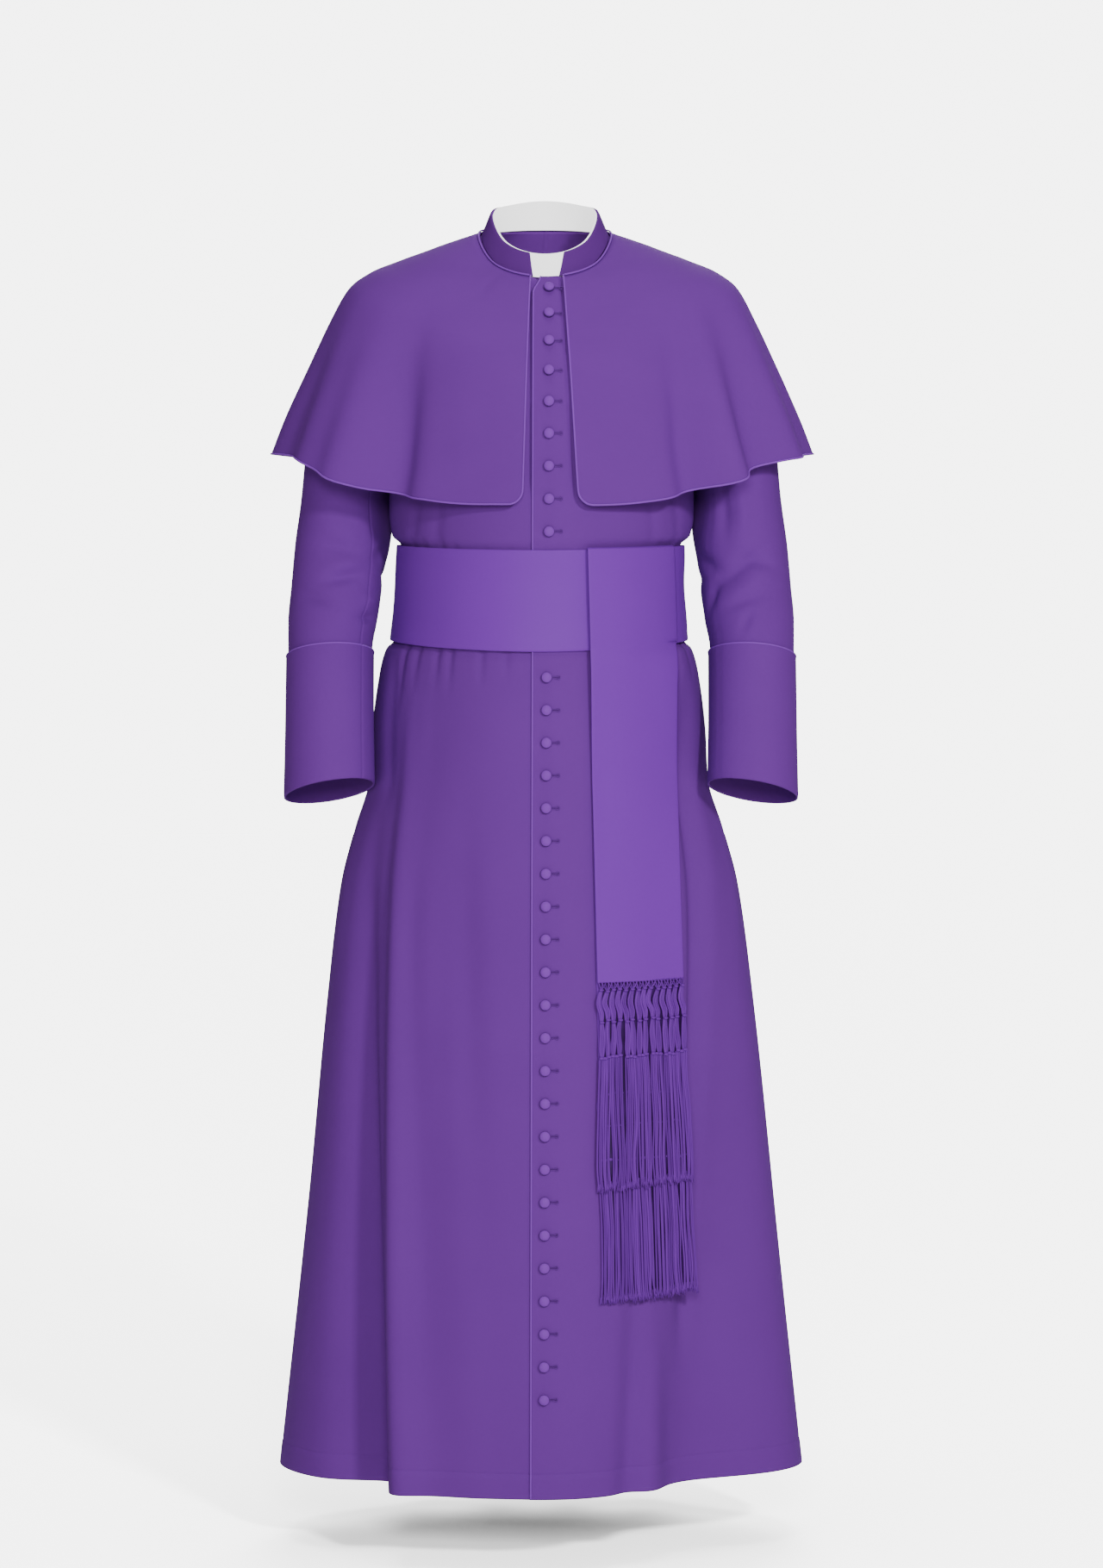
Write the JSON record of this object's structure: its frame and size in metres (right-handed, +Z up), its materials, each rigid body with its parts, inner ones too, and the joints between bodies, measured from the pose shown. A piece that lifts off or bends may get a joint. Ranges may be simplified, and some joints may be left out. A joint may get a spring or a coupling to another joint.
{
  "type": "cassock",
  "caption": "Worn full-length purple cassock with an elbow-length shoulder cape, stand collar, buttoned front, turned-back cuffs and a wide sash with knotted fringed ends.",
  "frame": {"origin": "the middle of the neck's base, where the wearer's neck and shoulders carry the garment", "axes": "+Z up, -Y the way the garment faces, +X towards the wearer's left"},
  "size_m": [0.6312, 0.4634, 1.4697],
  "materials": {
    "cassock": "matt fine wool cloth, purple",
    "piping": "satin covered cord, lighter purple",
    "sash": "smooth ribbed silk, brighter purple",
    "fringe": "twisted silk strands, brighter purple",
    "button": "cloth-covered domes",
    "insert": "smooth white collar band"
  },
  "bodies": {
    "root": {"front_left": "cassock", "front_right": "cassock", "back_left": "cassock", "back_right": "cassock", "skirt_front_left": "cassock", "skirt_front_right": "cassock", "skirt_back_left": "cassock", "skirt_back_right": "cassock", "sleeve_left": "cassock", "sleeve_right": "cassock", "cuff_left": "cassock", "cuff_right": "cassock", "cape": "cassock", "collar": "cassock", "collar_insert": "insert", "sash_band": "sash", "sash_tail_front": "sash", "sash_tail_rear": "sash", "fringe_front": "fringe", "fringe_rear": "fringe", "collar_piping": "piping", "cape_piping": "piping", "placket_piping": "piping", "cuff_piping_left": "piping", "cuff_piping_right": "piping", "button_01": "button", "button_02": "button", "button_03": "button", "button_04": "button", "button_05": "button", "button_06": "button", "button_07": "button", "button_08": "button", "button_09": "button", "button_10": "button", "button_11": "button", "button_12": "button", "button_13": "button", "button_14": "button", "button_15": "button", "button_16": "button", "button_17": "button", "button_18": "button", "button_19": "button", "button_20": "button", "button_21": "button", "button_22": "button", "button_23": "button", "button_24": "button", "button_25": "button", "button_26": "button", "button_27": "button", "button_28": "button", "button_29": "button", "button_30": "button", "button_31": "button", "button_32": "button"}
  },
  "joints": []
}
